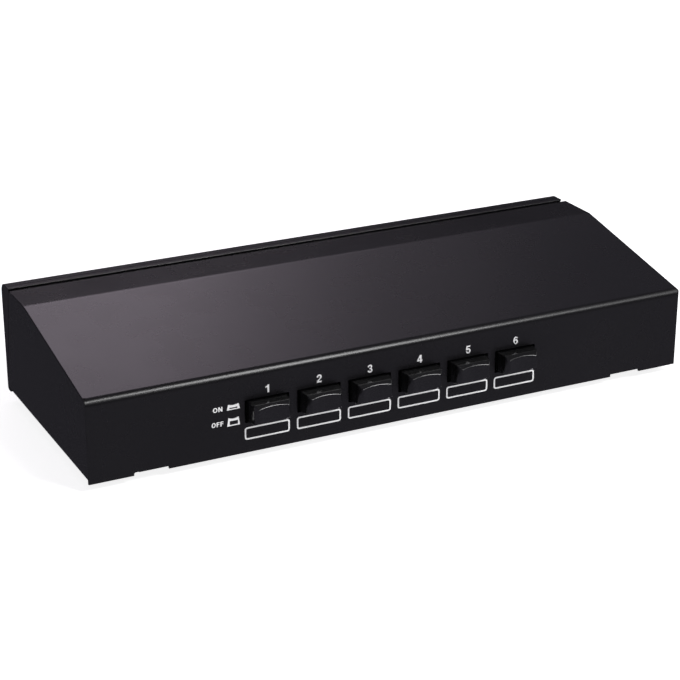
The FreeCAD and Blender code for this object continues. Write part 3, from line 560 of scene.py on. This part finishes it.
def flat_print(name, shapes):
    """Thin raised ink. Each shape is a list of loops: the outline, then its holes."""
    bm = bmesh.new()
    for loops in shapes:
        pts = [[Vector((x, z, 0)) for x, z in loop] for loop in loops]
        tris = tessellate_polygon(pts)
        flat = [p for loop in loops for p in loop]
        front = [bm.verts.new(W(x, INK_Y0, z)) for x, z in flat]
        back = [bm.verts.new(W(x, INK_Y1, z)) for x, z in flat]
        for t in tris:
            bm.faces.new([front[k] for k in t])
            bm.faces.new([back[k] for k in reversed(t)])
        base = 0
        for loop in loops:
            n = len(loop)
            for k in range(n):
                a, b = base + k, base + (k + 1) % n
                bm.faces.new((front[a], front[b], back[b], back[a]))
            base += n
    ob = from_bm(name, bm, M_INK)
    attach(ob, "case")
    return ob


def ell(cx, cy, rx, ry, a0, a1, n=14):
    return arc(cx, cy, rx, a0, a1, n, ry)


GLYPHS = {
    "1": (0.50, [[(0.47, 0), (0.47, 1.0), (0.32, 1.0), (0.27, 0.90), (0.18, 0.82), (0.05, 0.78), (0.05, 0.62),
                  (0.17, 0.645), (0.27, 0.70), (0.27, 0)]]),
    "2": (0.58, [[(0.0, 0.0), (0.0, 0.10), (0.04, 0.22), (0.14, 0.345), (0.27, 0.45), (0.345, 0.53)]
                 + ell(0.275, 0.685, 0.105, 0.145, -30, 185, 12)
                 + [(0.0, 0.655)] + ell(0.285, 0.70, 0.285, 0.31, 180, -18, 16)
                 + [(0.49, 0.49), (0.36, 0.36), (0.26, 0.27), (0.22, 0.185), (0.57, 0.185), (0.57, 0.0)]]),
    "3": (0.58, [[(0.015, 0.70)] + ell(0.275, 0.735, 0.255, 0.275, 180, -38, 14) + [(0.455, 0.53)]
                 + ell(0.28, 0.285, 0.29, 0.295, 48, -180, 18) + [(0.17, 0.275)]
                 + ell(0.28, 0.29, 0.115, 0.145, 190, 450, 14)
                 + [(0.20, 0.435), (0.20, 0.58)] + ell(0.27, 0.715, 0.095, 0.135, -90, 180, 12)]),
    "4": (0.62, [[(0.345, 0), (0.345, 0.215), (0.0, 0.215), (0.0, 0.385), (0.325, 1.0), (0.53, 1.0), (0.53, 0.375),
                  (0.63, 0.375), (0.63, 0.215), (0.53, 0.215), (0.53, 0)][::-1],
                 [(0.345, 0.375), (0.345, 0.71), (0.165, 0.375)]]),
    "5": (0.58, [[(0.065, 1.0), (0.53, 1.0), (0.53, 0.825), (0.215, 0.825), (0.19, 0.635)]
                 + ell(0.285, 0.325, 0.29, 0.34, 98, -178, 20) + [(0.185, 0.27)]
                 + ell(0.285, 0.325, 0.11, 0.175, 205, 500, 14) + [(0.17, 0.435), (0.01, 0.455)]]),
    "6": (0.58, [ell(0.29, 0.33, 0.295, 0.335, -90, 62, 12) + [(0.375, 0.655), (0.27, 0.64), (0.205, 0.585)]
                 + ell(0.315, 0.56, 0.125, 0.29, 170, 42, 10) + [(0.395, 0.735), (0.56, 0.75)]
                 + ell(0.30, 0.52, 0.30, 0.485, 32, 270, 22),
                 ell(0.29, 0.325, 0.112, 0.17, 0, 337.5, 15)]),
    "O": (0.80, [ell(0.39, 0.5, 0.39, 0.515, 0, 350, 35), ell(0.39, 0.5, 0.19, 0.335, 0, 345, 23)]),
    "N": (0.72, [[(0, 0), (0, 1), (0.21, 1), (0.50, 0.38), (0.50, 1), (0.69, 1), (0.69, 0), (0.48, 0), (0.19, 0.62), (0.19, 0)]]),
    "F": (0.60, [[(0, 0), (0, 1), (0.58, 1), (0.58, 0.83), (0.21, 0.83), (0.21, 0.60), (0.53, 0.60), (0.53, 0.435),
                  (0.21, 0.435), (0.21, 0)]]),
}


def word(text, x, z, high, stretch=1.0, gap=0.12, centred=False):
    widths = [GLYPHS[c][0] for c in text]
    total = (sum(widths) + gap * (len(text) - 1)) * high * stretch
    if centred:
        x -= total / 2
    out = []
    for c, w in zip(text, widths):
        out.append([[(x + px * high * stretch, z + pz * high) for px, pz in loop] for loop in GLYPHS[c][1]])
        x += (w + gap) * high * stretch
    return out


for i in range(6):
    flat_print("digit_%d" % (i + 1), word(str(i + 1), BX[i] + 0.15, 26.75, 3.75, 1.12, centred=True))
for i in range(6):
    cx, cz, hw, hh, w = BX[i] - 0.08, 9.1, 10.5, 2.62, 0.36
    flat_print("label_box_%d" % (i + 1), [[rounded(cx, cz, hw + w, hh + w, 1.25), rounded(cx, cz, hw - w, hh - w, 0.62)[::-1]]])
flat_print("legend_on", word("ON", -92.55, 21.98, 2.22, 1.24, 0.13))
flat_print("legend_off", word("OFF", -93.30, 15.02, 2.22, 1.11, 0.13))


def cap_sign(x0, x1, z0, z1, inset, dip, cell):
    """Plan of a button: sloping sides, hollowed top edge, one dark window low down."""
    n = 12
    a, b = x0 + inset, x1 - inset
    top = [(a + (b - a) * k / n, z1 - dip * (1 - (2 * k / n - 1) ** 2)) for k in range(n + 1)]
    c0, c1, c2, c3, sag = cell
    window = [(c0, c2), (c0 + 0.05, c3)]
    window += [(c0 + (c1 - c0) * k / n, c3 - sag * (1 - (2 * k / n - 1) ** 2)) for k in range(1, n)]
    window += [(c1 - 0.05, c3), (c1, c2)]
    return [[[(x1, z0)] + top[::-1] + [(x0, z0)], window]]


flat_print("sign_on", cap_sign(-86.0, -79.85, 21.90, 24.50, 0.58, 0.42, (-84.85, -81.00, 22.36, 23.05, 0.14)))
flat_print("sign_off", cap_sign(-86.0, -79.95, 14.27, 18.22, 0.60, 0.60, (-84.85, -80.85, 14.80, 16.62, 0.0)))

# ------------------------------------------------------- terminals, rear side
PX = [(3 - c) * 41.0 for c in range(7)]
TZ, OFF = 27.0, 9.5


def knob_profile():
    s, e, r = 119.35, 131.35, 5.5
    prof = [(s + 9.9, 0.0), (s + 9.9, 2.5), (s + 0.25, 2.5), (s, 2.75), (s, 4.6), (s + 0.15, 4.85), (s + 0.55, 5.0),
            (s + 1.3, 5.05), (s + 1.6, 5.2), (s + 1.8, r), (s + 2.1, r), (s + 5.0, r), (s + 8.0, r), (s + 10.6, r),
            (s + 11.0, 5.38), (s + 11.4, 5.1), (s + 11.75, 4.6), (e - 0.08, 4.1), (e, 3.6), (e - 0.05, 3.3),
            (e - 0.55, 3.05), (e - 0.6, 2.8), (e - 0.6, 1.2), (e - 0.6, 0.0)]
    return prof


def knob_wave(k, y, r, t):
    s, e = 119.35, 131.35
    if r < 5.1 or y < s + 1.7 or y > e - 0.3:
        return 0.0
    edge = min(1.0, max(0.0, (y - s - 1.7) / 0.3)) * min(1.0, max(0.0, (e - 0.45 - y) / 0.5))
    c = math.cos(t * 14)
    return -0.42 * edge * (0.5 + 0.5 * c) ** 2.2


knob_master = from_bm("knob_master", revolve_y(knob_profile(), 0, 0, 168, wave=knob_wave), M_KNOB_R)
shade(knob_master, 38)
GROUPS = ("amp", "out1", "out2", "out3", "out4", "out5", "out6")
for c, g in enumerate(GROUPS):
    for dx, side in ((-1, "l"), (1, "r")):
        for dz, pole in ((1, "plus"), (-1, "minus")):
            name = "knob_%s_%s_%s" % (g, side, pole)
            me = knob_master.data.copy()
            turn = Matrix.Rotation(math.radians(random.uniform(-12, 12)), 4, "Y")
            base = Matrix.Translation(-W(0, 0, 0))
            me.transform(Matrix.Translation(W(PX[c] + dx * OFF, 0, TZ + dz * OFF)) @ turn @ base)
            me.materials[0] = M_KNOB_R if pole == "plus" else M_KNOB_K
            ob = link(name + "_moulding", me)
            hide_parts(name)
            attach(ob, name + "_turning")
bpy.data.objects.remove(knob_master)

# posts: tail, seat, threaded stem
PS = DEP + 3.0
prof = [(103.0, 0.0), (103.0, 1.9), (103.1, 2.0), (PS, 2.0), (PS, 4.45), (PS + 0.15, 4.6), (PS + 1.05, 4.6), (PS + 1.2, 4.45)]
y = PS + 1.2
prof.append((y, 2.1))
while y < 128.4:
    prof += [(y + 0.2, 2.1), (y + 0.4, 2.45), (y + 0.55, 2.45), (y + 0.75, 2.1)]
    y += 0.75
prof += [(129.0, 2.0), (129.0, 0.0)]
bm = bmesh.new()
for cx in PX:
    for dx in (-1, 1):
        for dz in (-1, 1):
            revolve_y(prof, cx + dx * OFF, TZ + dz * OFF, 32, bm)
posts = from_bm("posts_turned", bm, M_POST)
shade(posts, 40)
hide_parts("binding_posts")
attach(posts, "case")

# insulating plates
plate = from_bm("plate_master", prism_y(rounded(0, TZ, 17.0, 18.5, 2.5, 8), DEP, DEP + 2.2), M_PLATE)
for dx in (-1, 1):
    for dz in (-1, 1):
        bm = revolve_y([(DEP + 0.1, 0.0), (DEP + 0.1, 5.6), (DEP + 3.0, 5.6), (DEP + 3.0, 0.0)], dx * OFF, TZ + dz * OFF, 64)
        boolean(plate, from_bm("collar", bm), "UNION")
# a low rib between the two channels, broken at the screws
for z0, z1 in ((TZ - 9.2, TZ + 9.2),):
    boolean(plate, from_bm("rib", box_bm(-0.6, 0.6, DEP + 0.1, DEP + 2.8, z0, z1)), "UNION")
# shallow seats for the screw heads
for dz in (-1, 1):
    bm = revolve_y([(DEP + 1.85, 0.0), (DEP + 1.85, 3.3), (DEP + 6, 3.3), (DEP + 6, 0.0)], 0, TZ + dz * 14.2, 48)
    boolean(plate, from_bm("cut", bm))
small_bevel(plate, 0.00030, 3, 55)
shade(plate, 35)
bm = bmesh.new()
for cx in PX:
    me = plate.data.copy()
    me.transform(Matrix.Translation((cx / 1000.0, 0, 0)))
    bm.from_mesh(me)
    bpy.data.meshes.remove(me)
bpy.data.objects.remove(plate)
me = bpy.data.meshes.new("plates")
bm.to_mesh(me)
bm.free()
me.materials.append(M_PLATE)
plates = link("plates_moulded", me)
shade(plates, 35)
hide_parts("terminal_plates")
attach(plates, "case")

# ------------------------------------------------------------------- screws


def screw_master():
    """Pan head with a cross recess; seat at the drawing origin, axis along y."""
    hr, hh = 2.75, 1.75
    prof = [(-6.0, 0.0), (-6.0, 1.15), (-5.6, 1.4)]
    y = -5.6
    while y < -0.5:
        prof += [(y + 0.12, 1.45), (y + 0.25, 1.25), (y + 0.38, 1.25), (y + 0.5, 1.45)]
        y += 0.5
    prof += [(0.0, 1.4), (0.0, hr - 0.1), (0.12, hr), (0.75, hr - 0.02)]
    for k in range(1, 9):
        t = k / 8.0 * math.pi / 2
        prof.append((0.75 + (hh - 0.75) * math.sin(t), 0.35 + (hr - 0.37) * math.cos(t) ** 0.75))
    prof[-1] = (hh, 0.4)
    prof.append((hh, 0.0))
    ob = from_bm("screw_master", revolve_y(prof, 0, 0, 40), M_SCREW)
    for a in (0, 90):
        bm = bmesh.new()
        t, b = 1.55, 0.55
        v = []
        for yy, l in ((0.55, b), (2.4, t + 0.35)):
            for sx, sz in ((-1, -1), (1, -1), (1, 1), (-1, 1)):
                p = (sx * l, sz * 0.28)
                if a:
                    p = (p[1], p[0])
                v.append(bm.verts.new(W(p[0], yy, p[1])))
        for q in ((0, 1, 2, 3), (4, 5, 6, 7), (0, 1, 5, 4), (1, 2, 6, 5), (2, 3, 7, 6), (3, 0, 4, 7)):
            bm.faces.new([v[k] for k in q])
        boolean(ob, from_bm("cut", bm))
    shade(ob, 35)
    return ob


sm = screw_master()
base = Matrix.Translation(-W(0, 0, 0))
bm = bmesh.new()
spots = []
for x in (-85.0, 77.0):
    for y in (18.5, 53.5):
        spots.append(((x, y, 19.62 - 6.25), Matrix.Rotation(math.radians(90), 4, "X")))
for x in (-143.0, 143.0):
    for y in (22.0, 88.0):
        spots.append(((x, y, 0.6), Matrix.Rotation(math.radians(-90), 4, "X")))
for c in PX:
    for dz in (-14.2, 14.2):
        spots.append(((c, DEP + 2.2, TZ + dz), Matrix.Identity(4)))
for k, (p, r) in enumerate(spots):
    me = sm.data.copy()
    spin = Matrix.Rotation(math.radians((k * 37) % 90), 4, "Y")
    me.transform(Matrix.Translation(W(*p)) @ r @ spin @ base)
    bm.from_mesh(me)
    bpy.data.meshes.remove(me)
bpy.data.objects.remove(sm)
me = bpy.data.meshes.new("screws")
bm.to_mesh(me)
bm.free()
me.materials.append(M_SCREW)
screws = link("screws_turned", me)
shade(screws, 35)
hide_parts("machine_screws")
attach(screws, "case")

# --------------------------------------------------------------------- feet


def revolve_z(profile, cx, cy, n, bm):
    rings = []
    for z, r in profile:
        if r < 1e-6:
            rings.append([bm.verts.new(W(cx, cy, z))])
        else:
            rings.append([bm.verts.new(W(cx + r * math.cos(2 * math.pi * i / n), cy + r * math.sin(2 * math.pi * i / n), z)) for i in range(n)])
    for k in range(len(rings) - 1):
        a, b = rings[k], rings[k + 1]
        for i in range(n):
            j = (i + 1) % n
            if len(a) == 1:
                bm.faces.new((a[0], b[i], b[j]))
            elif len(b) == 1:
                bm.faces.new((a[i], b[0], a[j]))
            else:
                bm.faces.new((a[i], b[i], b[j], a[j]))


bm = bmesh.new()
prof = [(0.6, 0.0), (0.6, 6.9), (0.4, 7.0), (-3.2, 6.35)] + [(-4 + 0.8 - 0.8 * math.sin(t), 5.5 + 0.8 * math.cos(t)) for t in (0.4, 0.8, 1.2, 1.5708)]
prof += [(-4.0, 3.2), (-3.8, 3.0), (-2.6, 2.8), (-2.5, 2.6), (-2.5, 0.0)]
for x in (-132.0, 132.0):
    for y in (16.0, 98.0):
        revolve_z(prof, x, y, 48, bm)
feet = from_bm("feet_moulded", bm, M_RUBBER)
shade(feet, 40)
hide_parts("rubber_feet")
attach(feet, "case")

# ---------------------------------------------- CAD nodes that stay as they are
KEEP = {"switch_board": M_BOARD, "hookup_wires": M_WIRE}
for n in range(1, 7):
    KEEP["switch_body_%d" % n] = M_HOUSING
    KEEP["plunger_%d" % n] = M_PLUNGER
    KEEP["return_spring_%d" % n] = M_SPRING
for name, mat in KEEP.items():
    me = NODES[name].data
    me.materials.clear()
    me.materials.append(mat)

# ---------------------------------------------------------- stage and light
bm = bmesh.new()
for x, y in ((-6, -6), (6, -6), (6, 6), (-6, 6)):
    bm.verts.new((x, y, 0))
bm.verts.ensure_lookup_table()
bm.faces.new(bm.verts)
m, nt, p = new_mat("floor_paper")
p.inputs["Base Color"].default_value = (0.90, 0.90, 0.90, 1)
p.inputs["Roughness"].default_value = 0.9
p.inputs["Specular IOR Level"].default_value = 0.1
p.inputs["Emission Color"].default_value = (1.0, 1.0, 1.0, 1)
p.inputs["Emission Strength"].default_value = 0.86
me = bpy.data.meshes.new("floor")
bm.to_mesh(me)
bm.free()
me.materials.append(m)
floor = link("floor", me)
floor.visible_glossy = False

scene = bpy.context.scene
scene.view_settings.view_transform = "Standard"
scene.view_settings.look = "None"
scene.view_settings.exposure = 0.0
scene.view_settings.gamma = 1.0

world = bpy.data.worlds.new("studio")
scene.world = world
world.use_nodes = True
nt = world.node_tree
for n in list(nt.nodes):
    nt.nodes.remove(n)
out = nt.nodes.new("ShaderNodeOutputWorld")
bg = nt.nodes.new("ShaderNodeBackground")
tc = nt.nodes.new("ShaderNodeTexCoord")
sep = nt.nodes.new("ShaderNodeSeparateXYZ")
nt.links.new(tc.outputs["Generated"], sep.inputs[0])


def mapped(sock, a0, a1, b0, b1, smooth=True):
    q = nt.nodes.new("ShaderNodeMapRange")
    q.interpolation_type = "SMOOTHSTEP" if smooth else "LINEAR"
    q.inputs["From Min"].default_value = a0
    q.inputs["From Max"].default_value = a1
    q.inputs["To Min"].default_value = b0
    q.inputs["To Max"].default_value = b1
    nt.links.new(sock, q.inputs["Value"])
    return q.outputs["Result"]


def calc(op, a, b):
    q = nt.nodes.new("ShaderNodeMath")
    q.operation = op
    for k, s in enumerate((a, b)):
        if isinstance(s, (int, float)):
            q.inputs[k].default_value = s
        else:
            nt.links.new(s, q.inputs[k])
    return q.outputs[0]


# a dim room: paler towards the front and low down, darkest low behind the part
low = mapped(sep.outputs["Y"], -0.1, 0.85, 0.175, 0.058)
high = mapped(sep.outputs["Z"], 0.30, 0.66, 0.03, 0.155)
high = calc("MULTIPLY", high, mapped(sep.outputs["Z"], 0.70, 0.84, 1.0, 0.35))
mix = mapped(sep.outputs["Z"], -0.12, 0.12, 0.0, 1.0)
level = calc("ADD", calc("MULTIPLY", low, calc("SUBTRACT", 1.0, mix)), calc("MULTIPLY", high, mix))
col = ramp(nt, level, [(0.0, (0, 0, 0, 1)), (1.0, (1.0, 0.95, 1.17, 1))])
nt.links.new(col, bg.inputs["Color"])
bg.inputs["Strength"].default_value = 1.0
nt.links.new(bg.outputs[0], out.inputs["Surface"])


def area(name, pos, aim, size, size_y, power, colour=(1, 1, 1)):
    d = bpy.data.lights.new(name, "AREA")
    d.shape = "RECTANGLE"
    d.size, d.size_y = size, size_y
    d.energy = power
    d.color = colour
    o = bpy.data.objects.new(name, d)
    scene.collection.objects.link(o)
    o.location = Vector(pos)
    o.rotation_mode = "QUATERNION"
    o.rotation_quaternion = (Vector(aim) - Vector(pos)).to_track_quat("-Z", "Y")
    o.visible_camera = False
    return o


# the rear softbox fades out towards the right: three panels in one plane
SIDE = Vector((0.9808, -0.1953, 0.0))
for tag, wide, shift, power in (("a", 0.781, -0.0845, 1.51), ("b", 0.934, -0.008, 0.92), ("c", 1.169, 0.1095, 0.49)):
    at = Vector((0.17, 1.105, 1.00)) + SIDE * shift
    area("softbox_rear_" + tag, at, at + Vector((-0.22, -1.105, -0.95)), wide, 0.56, power, (1.0, 0.87, 1.0))
area("softbox_key", (0.435, -0.757, 1.03), (-0.02, -0.06, 0.04), 0.32, 0.60, 8.1)
area("softbox_side", (1.03, -0.58, 0.92), (-0.02, -0.06, 0.04), 0.86, 0.50, 2.2)
area("softbox_top", (0.0, 0.0, 2.2), (0.0, 0.0, 0.0), 2.6, 2.6, 1.3)
